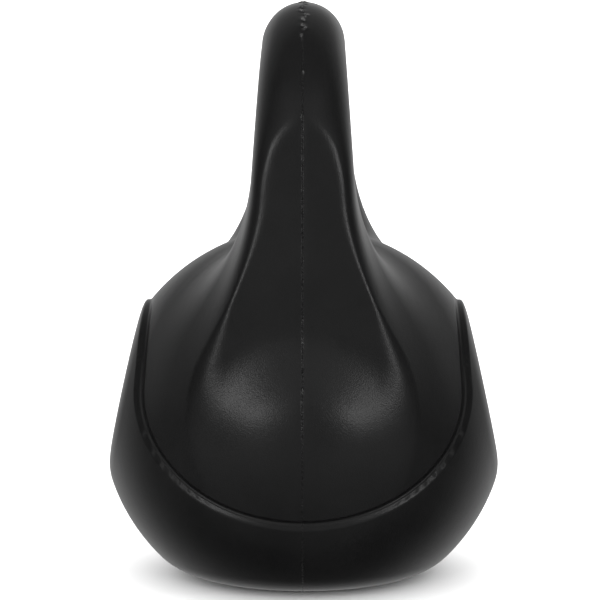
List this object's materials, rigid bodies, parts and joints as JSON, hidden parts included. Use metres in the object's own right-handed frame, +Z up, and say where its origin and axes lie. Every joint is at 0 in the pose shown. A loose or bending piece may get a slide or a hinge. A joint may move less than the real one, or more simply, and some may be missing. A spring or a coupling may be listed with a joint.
{
  "type": "kettlebell",
  "caption": "Filled plastic kettlebell: a round body with flat front and back panels, a sunk saddle and a looped handle.",
  "frame": {"origin": "middle of the base, on the floor", "axes": "+X along the grip, +Y from back to front across the mould parting line, +Z up"},
  "size_m": [0.165, 0.1584, 0.234],
  "materials": {
    "shell": "fine moulded grain",
    "ballast": "cast cement and iron sand",
    "rod": "hot rolled",
    "plug": "moulded",
    "seal": "smooth"
  },
  "bodies": {
    "root": {"shell": "shell", "ballast_core": "ballast", "handle_rod": "rod", "fill_plug": "plug", "plug_seal": "seal"}
  },
  "joints": []
}
